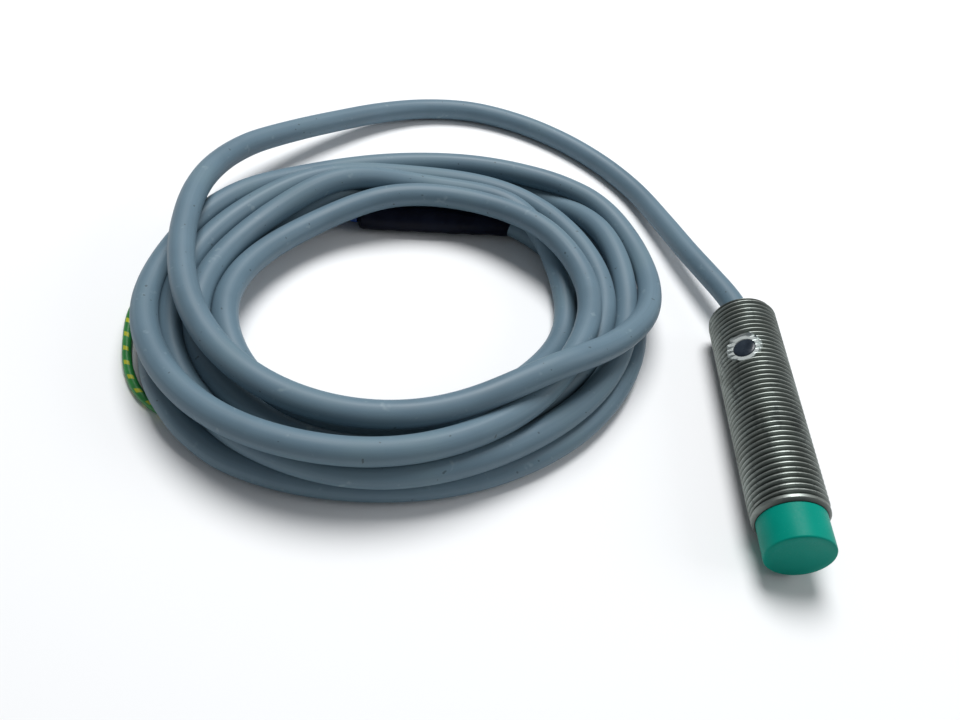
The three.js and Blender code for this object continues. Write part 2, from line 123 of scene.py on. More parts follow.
def tube(name, line, radius, sides=20, end_round=0.25):
    """Round tube along a line, with rounded closed ends and UVs: u around, v metres along."""
    line = np.asarray(line, float)
    tangent = np.gradient(line, axis=0)
    tangent /= np.linalg.norm(tangent, axis=1)[:, None]
    side = np.cross(tangent[0], [0.0, 0.0, 1.0])
    side /= np.linalg.norm(side)
    along = length_so_far(line)
    rings = []
    for centre, t, v in zip(line, tangent, along):
        side = side - t * (side @ t)
        side /= np.linalg.norm(side)
        rings.append((centre, t, side, radius, v))

    def end_ring(ring, out, inset):
        """A ring moved out past an end and narrowed, both as shares of the rounding."""
        centre, t, s, _, v = ring
        edge = end_round * radius
        return (centre + out * edge * t, t, s, radius - inset * edge, v)

    first, last = rings[0], rings[-1]
    rings = [end_ring(first, -1.0, 1.0), end_ring(first, -0.7, 0.3), *rings,
             end_ring(last, 0.7, 0.3), end_ring(last, 1.0, 1.0)]
    angles = np.linspace(0, 2 * math.pi, sides, endpoint=False)
    verts = []
    for centre, t, s, r, _ in rings:
        other = np.cross(t, s)
        verts.extend(centre + r * (math.cos(a) * s + math.sin(a) * other) for a in angles)
    faces = []
    uvs = []
    for i in range(len(rings) - 1):
        v0, v1 = rings[i][4], rings[i + 1][4]
        for j in range(sides):
            k = (j + 1) % sides
            low, high = i * sides, (i + 1) * sides
            faces.append((low + j, low + k, high + k, high + j))
            u0, u1 = j / sides, (j + 1) / sides
            uvs.extend([(u0, v0), (u1, v0), (u1, v1), (u0, v1)])
    faces.append(tuple(reversed(range(sides))))
    faces.append(tuple(range((len(rings) - 1) * sides, len(rings) * sides)))
    for end in (rings[0][4], rings[-1][4]):
        uvs.extend([(j / sides, end) for j in range(sides)])
    mesh = bpy.data.meshes.new(name)
    mesh.from_pydata([tuple(v) for v in verts], [], faces)
    layer = mesh.uv_layers.new(name="along")
    layer.data.foreach_set("uv", np.array(uvs, np.float32).ravel())
    mesh.validate()
    return smooth(new_object(name, mesh), 40)


def lathe(name, profile, sides=96, centre=AXIS):
    """Turned closed piece about Y; profile points are (radius, y) in mm and run round it."""
    profile = np.array(profile, float) * MM
    angles = np.linspace(0, 2 * math.pi, sides, endpoint=False)
    mesh = bpy.data.meshes.new(name)
    bm = bmesh.new()
    rows = []
    for r, y in profile:
        if r < 1e-7:
            rows.append([bm.verts.new(Vector((0, y, 0)) + Vector(centre))])
        else:
            rows.append([
                bm.verts.new(Vector((r * math.cos(a), y, -r * math.sin(a))) + Vector(centre))
                for a in angles
            ])
    pairs = list(zip(rows[:-1], rows[1:]))
    if len(rows[0]) > 1:
        pairs.append((rows[-1], rows[0]))
    for low, high in pairs:
        for j in range(sides):
            k = (j + 1) % sides
            corners = [low[j % len(low)], low[k % len(low)]]
            corners += [high[k % len(high)], high[j % len(high)]]
            corners = [v for i, v in enumerate(corners) if v not in corners[:i]]
            if len(corners) > 2:
                bm.faces.new(corners)
    bmesh.ops.recalc_face_normals(bm, faces=bm.faces)
    bm.to_mesh(mesh)
    bm.free()
    return smooth(new_object(name, mesh), 30)


def fillet(x0, y0, x1, y1, centre, steps=6):
    """Points of the arc from one point to another about a centre, both ends included."""
    a0 = math.atan2(y0 - centre[1], x0 - centre[0])
    a1 = math.atan2(y1 - centre[1], x1 - centre[0])
    a1 += 2 * math.pi * round((a0 - a1) / (2 * math.pi))
    r = math.hypot(x0 - centre[0], y0 - centre[1])
    return [
        (centre[0] + r * math.cos(a0 + (a1 - a0) * i / steps),
         centre[1] + r * math.sin(a0 + (a1 - a0) * i / steps))
        for i in range(steps + 1)
    ]


# ---------------------------------------------------------------- cable route

CABLE_R = 2.15
SLEEVE_R = 2.8
CORE_R = 0.75
FERRULE_R = 0.7
FERRULE_LENGTH = 8.0
GAP = 0.3  # clearance that the CAD solids keep
NODE_STEP = 3.6  # mm between the points that settle
COIL_CENTRE = np.array([-60.0, 19.0])
COIL_START = 152.7  # degrees round the coil, where the lead comes on to it
COIL_END = 55.0 + 8 * 360
OVAL = 0.095  # the coil is longer towards 45 degrees by this share

# From inside the barrel, down to the surface, round in one wide bow and up on to
# the left side of the coil (the CAD lead's own points).
LEAD_ROUTE = [
    (0, 18.6, 6.0), (0, 25.0, 6.0), (-1.0, 30.0, 5.9), (-3.6, 36.5, 5.4),
    (-6.8, 44.5, 4.5), (-10.4, 54.5, 3.4), (-15.6, 66.2, 2.5), (-22.4, 74.8, 2.2),
    (-31.0, 81.4, 2.2), (-41.0, 85.9, 2.2), (-52.0, 87.4, 2.3), (-62.5, 85.0, 2.4),
    (-72.0, 79.2, 3.1), (-80.6, 71.0, 4.4), (-88.3, 61.9, 6.2), (-94.4, 53.0, 8.0),
    (-98.0, 44.5, 9.7), (-99.1, 39.2, 10.6),
]
SLEEVE_FROM = np.array([-40.5, 47.9, SLEEVE_R])
SLEEVE_TO = np.array([-72.0, 42.6, SLEEVE_R])

# The cores' own points, as in the CAD part.
EARTH_ROUTE = [
    (-72.8, 44.0, 2.9), (-76.2, 45.0, 2.2), (-80.4, 44.7, 1.1), (-84.6, 42.6, 0.8),
    (-91.0, 37.5, 0.78), (-98.5, 28.5, 0.78), (-103.4, 19.5, 0.78), (-105.3, 11.4, 0.78),
    (-104.3, 4.2, 0.78), (-102.2, -2.2, 0.78), (-98.9, -7.0, 0.78), (-94.0, -10.0, 0.78),
    (-88.5, -11.6, 0.78),
]
BROWN_ROUTE = [
    (-72.4, 42.4, 3.6), (-76.6, 43.0, 3.3), (-83.0, 41.4, 1.5), (-89.5, 35.0, 0.8),
    (-95.0, 26.0, 0.78), (-97.8, 16.0, 0.78), (-97.8, 6.5, 0.78), (-95.4, -1.2, 0.78),
    (-91.0, -4.8, 0.78),
]
BLUE_ROUTE = [
    (-72.5, 43.0, 1.5), (-76.6, 43.6, 1.05), (-82.5, 39.9, 0.85), (-88.0, 32.3, 0.78),
    (-92.3, 23.0, 0.78), (-94.2, 14.0, 0.78), (-92.6, 6.6, 0.78), (-89.8, 1.6, 0.78),
]

# The top turn, from where the lead climbs on to the coil: angle, radius and height.
TOP_TURN = [
    (COIL_START, 47.7, 10.6), (163, 44.0, 11.5), (171.6, 40.9, 12.0), (182, 38.2, 12.4),
    (195, 35.8, 12.6), (225, 33.1, 12.4), (270, 31.8, 12.3), (305, 32.5, 12.3),
    (328, 34.5, 11.8), (347, 37.5, 10.2), (363, 40.7, 8.6), (380, 42.7, 7.4),
    (404, 43.5, 6.6), (425, 41.9, 6.4), (450, 40.0, 6.4), (470, 40.1, 6.2),
    (486, 40.1, 6.2), (503, 41.3, 6.4), (520, 42.0, 6.5),
]

# Radius and height of each turn under it, where it passes the left, front, right and back.
TURNS = [
    ((41.5, 6.6), (37.3, 10.7), (30.7, 8.9), (26.4, 7.7)),
    ((29.9, 6.4), (30.0, 6.4), (28.4, 5.0), (31.2, 6.2)),
    ((34.0, 6.4), (34.2, 6.4), (33.8, 6.4), (35.1, 6.2)),
    ((37.6, 6.4), (38.5, 6.6), (38.1, 6.4), (41.4, 2.2)),
    ((39.8, 2.2), (38.2, 2.2), (39.9, 2.2), (37.1, 2.2)),
    ((35.5, 2.2), (33.9, 2.2), (35.6, 2.2), (32.8, 2.2)),
    ((31.2, 2.2), (29.6, 2.2), (31.9, 2.2), (33.6, 2.2)),
]


def coil_points():
    """The turns as one winding: radius and height run smoothly from station to station."""
    stations = [(540 + 90 * i, r, z) for i, (r, z) in enumerate(s for turn in TURNS for s in turn)]
    angles = np.arange(COIL_START + 5, COIL_END - 24, 5.0)
    keys = spline_through([(a / 90.0, r / 10.0, z / 10.0) for a, r, z in TOP_TURN + stations], 0.05)
    radius = np.interp(angles / 90.0, keys[:, 0], keys[:, 1] * 10.0)
    height = np.interp(angles / 90.0, keys[:, 0], keys[:, 2] * 10.0)
    turn = np.radians(angles)
    radius = radius * (1 + OVAL * np.cos(2 * (turn - math.radians(45))))
    return np.stack([
        COIL_CENTRE[0] + radius * np.cos(turn), COIL_CENTRE[1] + radius * np.sin(turn), height
    ], 1)


def lifted_floor(points, cores):
    """Lowest height of the cable's middle at each place: the surface, or the cores on it."""
    gap = points[:, None, :2] - cores[None, :, :2]
    clear = (CABLE_R + CORE_R + 0.05) ** 2 - np.einsum("ijk,ijk->ij", gap, gap)
    over = np.where(clear > 0, np.sqrt(np.maximum(clear, 0)) + cores[None, :, 2], 0)
    return np.maximum(over.max(axis=1), CABLE_R)


def settle(points, hold, cores, rounds=700):
    """Lets the cable sink on to the surface and on to itself, keeping its length.

    Each round lowers it, draws it a little towards its first route by hold, straightens
    its bends as its stiffness does, puts its length right and pushes crossing turns apart.
    """
    sink = 0.02
    follow = np.array([1.0, 1.0, 0.35])
    p = points.copy()
    rest = np.linalg.norm(np.diff(p, axis=0), axis=1)
    count = len(p)
    first, second = np.triu_indices(count, 4)
    near_end = np.arange(count) > count - 12
    fixed = hold >= 0.9
    free = (hold < 0.9)[:, None] * 0.95
    width = 2 * CABLE_R * 1.004
    for step in range(rounds):
        p[:, 2] -= sink
        p += (points - p) * hold[:, None] * follow
        for _ in range(4):
            bend = np.zeros_like(p)
            bend[2:-2] = (-p[:-4] + 4 * p[1:-3] - 6 * p[2:-2] + 4 * p[3:-1] - p[4:]) / 16.0
            p += bend * free
        for parity in (0, 1):
            i = np.arange(parity, count - 1, 2)
            d = p[i + 1] - p[i]
            long = np.linalg.norm(d, axis=1)
            fix = 0.5 * ((long - rest[i]) / long)[:, None] * d
            p[i] += fix
            p[i + 1] -= fix
        if step % 8 == 0:
            gap = p[second] - p[first]
            near = np.einsum("ij,ij->i", gap, gap) < (1.5 * width) ** 2
            a, b = first[near], second[near]
            floor = np.where(near_end, CABLE_R, lifted_floor(p, cores))
        gap = p[b] - p[a]
        away = np.linalg.norm(gap, axis=1)
        wanted = np.where(b > count - 10, CABLE_R + SLEEVE_R + 0.1, width)
        push = np.clip(wanted - away, 0, None) * 0.45
        move = gap / np.maximum(away, 1e-6)[:, None] * push[:, None]
        share = np.bincount(a, minlength=count) + np.bincount(b, minlength=count)
        total = np.zeros_like(p)
        np.add.at(total, a, -move)
        np.add.at(total, b, move)
        p += total / np.maximum(1.0, 0.5 * share)[:, None] * 1.2
        p[:, 2] = np.maximum(p[:, 2], floor)
        p[fixed] = points[fixed]
    return p


def cable_line():
    """Middle line of the whole cable, from inside the barrel to inside the end sleeve."""
    lead = evenly(spline_through(LEAD_ROUTE, 2.0), NODE_STEP)
    end = SLEEVE_FROM + np.linspace(0, 0.95, 10)[:, None] * (SLEEVE_TO - SLEEVE_FROM)
    coil = coil_points()
    whole = evenly(spline_through(np.vstack([lead, coil, end[1:]]), 2.0), NODE_STEP)
    place = length_so_far(whole)
    hold = np.full(len(whole), 0.012)  # how strongly each point is drawn to its first place
    lead_length = np.linalg.norm(np.diff(lead, axis=0), axis=1).sum()
    for reach, share in ((420, 0.05), (40, 0.15), (-12, 1.0)):
        hold[place < lead_length + reach] = share
    hold[-9:] = 1.0
    cores = np.vstack([spline_through(r, 1.5) for r in (EARTH_ROUTE, BROWN_ROUTE, BLUE_ROUTE)])
    settled = settle(whole, hold, cores)
    return spline_through(settled, 1.2)


CABLE = cable_line()


def make_cable():
    return tube("cable", CABLE * MM, CABLE_R * MM, 24)


cable = make_cable()


# ---------------------------------------------------------------- far end of the cable


def make_sleeve():
    """Shrink sleeve with slight ripples where it has drawn in on the jacket."""
    along = SLEEVE_TO - SLEEVE_FROM
    length = float(np.linalg.norm(along))
    share = np.linspace(0.02, 0.98, 33)[:, None]
    line = SLEEVE_FROM + along * share
    obj = tube("end_sleeve_shrunk", line * MM, SLEEVE_R * MM, 32, end_round=0.3)
    middle = Vector(0.5 * (SLEEVE_FROM + SLEEVE_TO) * MM)
    axis = Vector(along / length)
    for vertex in obj.data.vertices:
        reach = (vertex.co - middle).dot(axis)
        at = reach / (length * MM)
        centre = middle + axis * reach
        fine = 0.0175 * (1 + math.sin(41 * at + 1.3))
        broad = 0.01 * (1 + math.sin(17 * at))
        vertex.co = centre + (vertex.co - centre) * (1 - fine - broad)
    return obj


def make_core(name, route):
    return tube(name, spline_through(route, 0.8) * MM, CORE_R * MM, 14)


def make_ferrule(name, route):
    """Tinned tube crimped on the end of a core."""
    end = np.array(route[-1], float)
    along = end - np.array(route[-2], float)
    along /= np.linalg.norm(along)
    line = end + along * np.linspace(GAP, FERRULE_LENGTH, 25)[:, None]
    obj = tube(name, line * MM, FERRULE_R * MM, 20, end_round=0.2)
    origin = Vector(end * MM)
    axis = Vector(along)
    for vertex in obj.data.vertices:
        reach = (vertex.co - origin).dot(axis)
        at = reach / MM
        centre = origin + axis * reach
        if 1 < at < FERRULE_LENGTH - 1:
            crimp = 0.12 * max(0.0, math.sin(2.4 * at))
            vertex.co = centre + (vertex.co - centre) * (1 - crimp)
    return obj


sleeve = make_sleeve()
core_earth = make_core("earth_core", EARTH_ROUTE)
core_brown = make_core("brown_core", BROWN_ROUTE)
core_blue = make_core("blue_core", BLUE_ROUTE)
ferrule_earth = make_ferrule("earth_ferrule", EARTH_ROUTE)
ferrule_brown = make_ferrule("brown_ferrule", BROWN_ROUTE)
ferrule_blue = make_ferrule("blue_ferrule", BLUE_ROUTE)


# ---------------------------------------------------------------- barrel

THREAD_R = 6.0
PITCH = 1.0
THREAD_DEPTH = 0.613
FRONT = -19.0
REAR = 25.0
BORE_R = 4.8
WINDOW_Y = 13.1
WINDOW_TURN = math.radians(-38)
WINDOW_R = 1.9
SPOT_R = 3.0
SPOT_FLAT = 5.2  # distance of the window's spot face from the axis
RIM_LENGTH = 1.0
RIM_R = 5.9
RIM_EDGE = 0.45
REAR_CHAMFER = 0.7


def thread_profile(phase):
    """Radius over one pitch: narrow flat crest, straight flanks, rounded root."""
    phase = phase % 1.0
    tri = np.abs(phase - 0.5) * 2.0
    height = np.clip((tri - 0.14) / 0.72, 0, 1)
    eased = height * height * (3 - 2 * height)
    return THREAD_R - THREAD_DEPTH * (1 - (0.75 * height + 0.25 * eased))


def barrel_envelope(y):
    """Largest radius that the turned outline leaves at a place along the barrel."""
    front = y - FRONT
    limit = np.where(front < RIM_LENGTH, RIM_R, THREAD_R)
    limit = np.where(front < RIM_EDGE, RIM_R - RIM_EDGE + front, limit)
    return np.minimum(limit, THREAD_R - REAR_CHAMFER + 0.9 * np.maximum(REAR - y, 0))


def barrel_skin():
    """Closed tube whose outside is a helical thread; rows of vertices follow the helix."""
    sides = 120
    per_pitch = 12
    rows = int(((REAR - FRONT) / PITCH + 2) * per_pitch)
    turn = np.arange(sides)[None, :] / sides
    grid_row = np.arange(rows)[:, None] / per_pitch
    y = np.clip(FRONT - PITCH + (grid_row + turn) * PITCH, FRONT, REAR)
    behind_rim = y - FRONT - RIM_LENGTH
    radius = thread_profile((y - FRONT) / PITCH - turn)
    lead_in = np.clip((behind_rim - 0.1) / 0.6, 0, 1)
    radius = RIM_R + (radius - RIM_R) * lead_in
    groove = 0.42 * np.exp(-(((behind_rim - 0.25) / 0.16) ** 2))
    radius = np.minimum(radius - groove, barrel_envelope(y))
    angle = 2 * math.pi * turn
    outer = np.stack([radius * np.cos(angle), y, -radius * np.sin(angle)], -1)
    faces = []
    for i in range(rows - 1):
        for j in range(sides - 1):
            a = i * sides + j
            faces.append((a, a + 1, a + 1 + sides, a + sides))
        if i + per_pitch + 1 < rows:
            a = i * sides + sides - 1
            b = (i + per_pitch) * sides
            faces.append((a, b, b + sides, a + sides))
    mesh = bpy.data.meshes.new("barrel_thread")
    bm = bmesh.new()
    made = [bm.verts.new(v) for v in outer.reshape(-1, 3)]
    for face in faces:
        bm.faces.new([made[i] for i in face])
    bmesh.ops.remove_doubles(bm, verts=bm.verts, dist=1e-4)
    bmesh.ops.dissolve_degenerate(bm, edges=bm.edges, dist=1e-5)
    close_barrel(bm)
    bmesh.ops.recalc_face_normals(bm, faces=bm.faces)
    bmesh.ops.triangulate(bm, faces=[f for f in bm.faces if len(f.verts) > 4])
    bm.to_mesh(mesh)
    bm.free()
    return new_object("barrel_thread", mesh)


def close_barrel(bm):
    """Adds both end faces, chamfered into the bore, and the bore to the threaded skin."""
    chamfer = 0.25
    for y_end, inward in ((FRONT, 1), (REAR, -1)):
        edges = [
            e for e in bm.edges
            if e.is_boundary and all(abs(v.co.y - y_end) < 1e-3 for v in e.verts)
        ]
        for radius, shift in ((BORE_R + chamfer, 0.0), (BORE_R, inward * chamfer)):
            made = bmesh.ops.extrude_edge_only(bm, edges=edges)["geom"]
            edges = [e for e in made if isinstance(e, bmesh.types.BMEdge)]
            for v in made:
                if isinstance(v, bmesh.types.BMVert):
                    scale = radius / math.hypot(v.co.x, v.co.z)
                    v.co = (v.co.x * scale, v.co.y + shift, v.co.z * scale)
    bmesh.ops.bridge_loops(bm, edges=[e for e in bm.edges if e.is_boundary])


def through_window(name, profile):
    """Turned piece that stands out through the window, profile (radius, distance)."""
    obj = lathe(name, profile, 96, (0, 0, 0))
    turn = Matrix.Rotation(math.pi / 2, 4, "X")
    out = Matrix.Rotation(WINDOW_TURN, 4, "Y")
    shift = Matrix.Translation((0, WINDOW_Y * MM, 0))
    obj.data.transform(Matrix.Translation(Vector(AXIS)) @ out @ shift @ turn)
    return obj


def cut(target, tool):
    modifier = target.modifiers.new("cut", "BOOLEAN")
    modifier.operation = "DIFFERENCE"
    modifier.solver = "EXACT"
    modifier.object = tool
    deps = bpy.context.evaluated_depsgraph_get()
    mesh = bpy.data.meshes.new_from_object(target.evaluated_get(deps))
    target.modifiers.clear()
    target.data = mesh
    bpy.data.objects.remove(tool)


def make_barrel():
    obj = barrel_skin()
    obj.data.transform(Matrix.Translation(Vector(AXIS)) @ Matrix.Scale(MM, 4))
    start, end = 3.0, 8.0
    profile = [(0, start), (WINDOW_R, start), (WINDOW_R, SPOT_FLAT - 0.1)]
    profile += [(WINDOW_R + 0.1, SPOT_FLAT), (SPOT_R - 0.3, SPOT_FLAT)]
    profile += [(SPOT_R, SPOT_FLAT + 0.3), (SPOT_R, end), (0, end)]
    cut(obj, through_window("tool", profile))
    return smooth(obj, 28)


barrel = make_barrel()


# ---------------------------------------------------------------- cap, lens and bushing


def make_cap():
    """Green cup with a small edge radius and a shallow moulded rim step on its face."""
    r, face, edge, wall = 5.3, -25.0, 0.32, 0.8
    skirt_r, cavity_r, skirt_end, shoulder = 4.5, 3.8, -15.0, FRONT - 0.02
    profile = [(0, face + 0.05), (4.0, face + 0.05), (4.12, face)]
    profile += fillet(r - edge, face, r, face + edge, (r - edge, face + edge))
    profile += [(r, shoulder), (skirt_r, shoulder), (skirt_r, skirt_end)]
    profile += [(cavity_r, skirt_end), (cavity_r, face + wall + 0.1)]
    profile += [(cavity_r - 0.1, face + wall), (0, face + wall)]
    return lathe("cap_moulding", profile, 128)


def make_lens():
    """Shallow dome of smoked plastic; its edge stands just clear of the window."""
    base, edge, top, r = 4.6, 5.1, 5.38, WINDOW_R - 0.04
    profile = [(0, base), (r, base), (r, edge)]
    steps = 14
    for i in range(1, steps):
        a = math.pi / 2 * i / steps
        profile.append((r * math.cos(a) ** 0.8, edge + (top - edge) * math.sin(a)))
    profile.append((0, top))
    obj = through_window("lens_dome", profile)
    return smooth(obj, 50)


def make_bushing():
    """Round plug in the bore, rounded outside and towards the cable."""
    inner, outer, front, rear = CABLE_R + 0.02, 4.72, 22.5, REAR - 0.2
    edge, lip = 0.35, 0.5
    profile = [(inner, front), (outer, front), (outer, rear - edge)]
    profile += fillet(outer, rear - edge, outer - edge, rear, (outer - edge, rear - edge))
    profile += fillet(inner + lip, rear, inner, rear - lip, (inner + lip, rear - lip))
    return lathe("bushing_moulding", profile, 96)


cap = make_cap()
lens = make_lens()
bushing = make_bushing()


# ---------------------------------------------------------------- materials


class Look:
    """A principled material with short calls for its procedural parts."""

    def __init__(self, name, colour, rough, metal=0.0, **sockets):
        self.material = bpy.data.materials.new(name)
        self.material.use_nodes = True
        self.tree = self.material.node_tree
        self.shader = self.tree.nodes["Principled BSDF"]
        self.shader.inputs["Base Color"].default_value = (*colour, 1)
        self.shader.inputs["Roughness"].default_value = rough
        self.shader.inputs["Metallic"].default_value = metal
        for socket, value in sockets.items():
            self.shader.inputs[socket.replace("_", " ")].default_value = value

    def node(self, kind, **settings):
        made = self.tree.nodes.new(kind)
        for key, value in settings.items():
            setattr(made, key, value)
        return made

    def link(self, a, b):
        self.tree.links.new(a, b)

    def coordinates(self, stretch=(1, 1, 1), uv=False):
        if uv:
            source = self.node("ShaderNodeUVMap", uv_map="along").outputs[0]
        else:
            source = self.node("ShaderNodeTexCoord").outputs["Object"]
        mapping = self.node("ShaderNodeMapping")
        mapping.inputs["Scale"].default_value = stretch
        self.link(source, mapping.inputs[0])
        return mapping.outputs[0]

    def noise(self, scale, detail=3.0, stretch=(1, 1, 1), uv=False, rough=0.5):
        made = self.node("ShaderNodeTexNoise")
        made.inputs["Scale"].default_value = scale
        made.inputs["Detail"].default_value = detail
        made.inputs["Roughness"].default_value = rough
        self.link(self.coordinates(stretch, uv), made.inputs["Vector"])
        return made.outputs["Fac"]

    def ramp(self, value, stops):
        made = self.node("ShaderNodeValToRGB")
        elements = made.color_ramp.elements
        while len(elements) < len(stops):
            elements.new(0.5)
        for element, (at, colour) in zip(elements, stops):
            element.position = at
            element.color = (*colour, 1)
        self.link(value, made.inputs[0])
        return made.outputs[0]

    def remap(self, value, low, high, to_low, to_high):
        made = self.node("ShaderNodeMapRange")
        for socket, number in zip(made.inputs[1:5], (low, high, to_low, to_high)):
            socket.default_value = number
        self.link(value, made.inputs[0])
        return made.outputs[0]

    def mix(self, share, a, b):
        made = self.node("ShaderNodeMix", data_type="RGBA")
        for socket, value in zip((made.inputs[0], made.inputs[6], made.inputs[7]), (share, a, b)):
            if isinstance(value, bpy.types.NodeSocket):
                self.link(value, socket)
            else:
                socket.default_value = value if isinstance(value, float) else (*value, 1)
        return made.outputs[2]

    def math(self, operation, a, b=0.0):
        made = self.node("ShaderNodeMath", operation=operation)
        for socket, value in zip(made.inputs, (a, b)):
            if isinstance(value, bpy.types.NodeSocket):
                self.link(value, socket)
            else:
                socket.default_value = value
        return made.outputs[0]

    def node_value(self, place, axis, centre):
        """How far a place lies along an axis from a centre."""
        away = self.node("ShaderNodeVectorMath", operation="SUBTRACT")
        self.link(place, away.inputs[0])
        away.inputs[1].default_value = centre
        dot = self.node("ShaderNodeVectorMath", operation="DOT_PRODUCT")
        self.link(away.outputs[0], dot.inputs[0])
        dot.inputs[1].default_value = axis
        return dot.outputs["Value"]

    def colour(self, output):
        self.link(output, self.shader.inputs["Base Color"])

    def rough(self, output):
        self.link(output, self.shader.inputs["Roughness"])

    def bump(self, height, strength, distance):
        made = self.node("ShaderNodeBump")
        made.inputs["Strength"].default_value = strength
        made.inputs["Distance"].default_value = distance
        self.link(height, made.inputs["Height"])
        self.link(made.outputs[0], self.shader.inputs["Normal"])


def tint(colour, factor):
    return tuple(c * factor for c in colour)


def nickel():
    """Satin nickel over brass: painted shade that darkens the thread roots and lightens towards the
    crests, and a freshly cut bright spot face.
    """
    look = Look("nickel_plate", (0.4, 0.43, 0.4), 0.3, 1.0)

    def vector(operation, a, b):
        made = look.node("ShaderNodeVectorMath", operation=operation)
        for socket, value in zip(made.inputs, (a, b)):
            if isinstance(value, bpy.types.NodeSocket):
                look.link(value, socket)
            else:
                socket.default_value = value
        return made.outputs["Value" if operation == "LENGTH" else "Vector"]

    window = Vector((math.sin(WINDOW_TURN), 0, math.cos(WINDOW_TURN)))
    place = look.coordinates()
    from_axis = vector("MULTIPLY", vector("SUBTRACT", place, tuple(AXIS)), (1, 0, 1))
    distance = vector("LENGTH", from_axis, (0, 0, 0))
    shade_to_crest = look.remap(distance, 5.35 * MM, 5.98 * MM, 0.0, 1.0)
    centre = (0, WINDOW_Y * MM, float(AXIS[2]))
    across = vector("CROSS_PRODUCT", vector("SUBTRACT", place, centre), tuple(window))
    off_centre = vector("LENGTH", across, (0, 0, 0))
    spot = look.remap(off_centre, SPOT_R * MM, (SPOT_R + 0.12) * MM, 1.0, 0.0)
    above = look.math("GREATER_THAN", look.node_value(place, window, centre), 0.0)
    spot = look.math("MULTIPLY", spot, above)
    patches = look.noise(260.0, 4.0)
    # Painted shade: the base colour runs from dark in the thread roots to light on the crests.
    base = look.ramp(shade_to_crest, [(0.0, (0.055, 0.062, 0.058)), (0.4, (0.145, 0.165, 0.155)),
                             (0.8, (0.25, 0.28, 0.262)), (1.0, (0.32, 0.35, 0.33))])
    base = look.mix(look.remap(patches, 0.35, 0.7, 0.0, 0.5), base, (0.14, 0.15, 0.135))
    scratches = look.noise(500.0, 3.0, (1, 0.25, 1), rough=0.7)
    base = look.mix(look.remap(scratches, 0.56, 0.66, 0.0, 0.55), base, (0.09, 0.10, 0.10))
    look.colour(look.mix(spot, base, (0.5, 0.54, 0.53)))
    marks = look.noise(900.0, 2.0, (1, 14, 1))
    look.rough(look.remap(look.math("ADD", marks, patches), 0.6, 1.4, 0.4, 0.58))
    look.bump(look.math("ADD", marks, scratches), 0.3, 0.00003)
    return look.material


def moulded(name, colour, rough=0.5, grain=1500.0, bump=0.2, vary=0.12, metal=0.0, **sockets):
    """Moulded plastic: slight colour drift, fine grain in the gloss and in the surface."""
    look = Look(name, colour, rough, metal, **sockets)
    drift = look.noise(180.0, 3.0)
    look.colour(look.mix(look.remap(drift, 0.3, 0.7, 0.0, 1.0),
                         tint(colour, 1 - vary), tint(colour, 1 + vary)))
    fine = look.noise(grain, 3.0)
    look.rough(look.remap(fine, 0.3, 0.7, rough - 0.07, rough + 0.07))
    look.bump(fine, bump, 0.00002)
    return look.material


def cap_plastic():
    """Blue-green polyester with a satin, finely sparked surface."""
    look = Look("cap_plastic", (0.0, 0.25, 0.19), 0.42, 0.0, Specular_IOR_Level=0.08)
    drift = look.noise(150.0, 4.0)
    base = look.ramp(drift, [(0.3, (0.0002, 0.225, 0.168)), (0.7, (0.0004, 0.265, 0.200))])
    specks = look.noise(2600.0, 1.0)
    look.colour(look.mix(look.remap(specks, 0.68, 0.74, 0.0, 0.25), base, (0.04, 0.33, 0.26)))
    fine = look.noise(3200.0, 3.0)
    look.rough(look.remap(fine, 0.3, 0.7, 0.36, 0.5))
    look.bump(fine, 0.22, 0.00002)
    return look.material


def jacket():
    """Blue-grey PVC: faint drawn streaks along it, dull patches, a few dark specks."""
    grey = (0.116, 0.186, 0.238)
    look = Look("cable_jacket", grey, 0.5, 0.0, Specular_IOR_Level=0.35)
    patches = look.noise(70.0, 4.0)
    base = look.ramp(patches, [(0.32, tint(grey, 0.88)), (0.5, grey), (0.7, (0.127, 0.200, 0.243))])
    streaks = look.noise(1.0, 3.0, (26.0, 22.0, 1.0), uv=True)
    base = look.mix(look.remap(streaks, 0.35, 0.7, 0.0, 0.35), base, tint(grey, 0.8))
    rubs = look.noise(420.0, 2.0, (1.0, 1.0, 1.0), rough=0.7)
    base = look.mix(look.remap(rubs, 0.66, 0.76, 0.0, 0.35), base, (0.27, 0.35, 0.38))
    dots = look.noise(1300.0, 0.0)
    base = look.mix(look.remap(dots, 0.82, 0.85, 0.0, 0.7), base, (0.04, 0.06, 0.07))
    look.colour(base)
    look.rough(look.remap(look.math("ADD", patches, streaks), 0.7, 1.3, 0.42, 0.6))
    fine = look.noise(1400.0, 3.0)
    look.bump(look.math("ADD", look.math("MULTIPLY", streaks, 0.5), fine), 0.22, 0.00003)
    return look.material


def shrink_black():
    look = Look("shrink_black", (0.002, 0.003, 0.009), 0.42, 0.0, Specular_IOR_Level=0.08)
    drift = look.noise(300.0, 3.0)
    look.colour(look.ramp(drift, [(0.35, (0.0012, 0.002, 0.007)), (0.7, (0.004, 0.006, 0.015))]))
    look.rough(look.remap(drift, 0.3, 0.7, 0.36, 0.55))
    look.bump(look.noise(900.0, 3.0), 0.3, 0.00004)
    return look.material


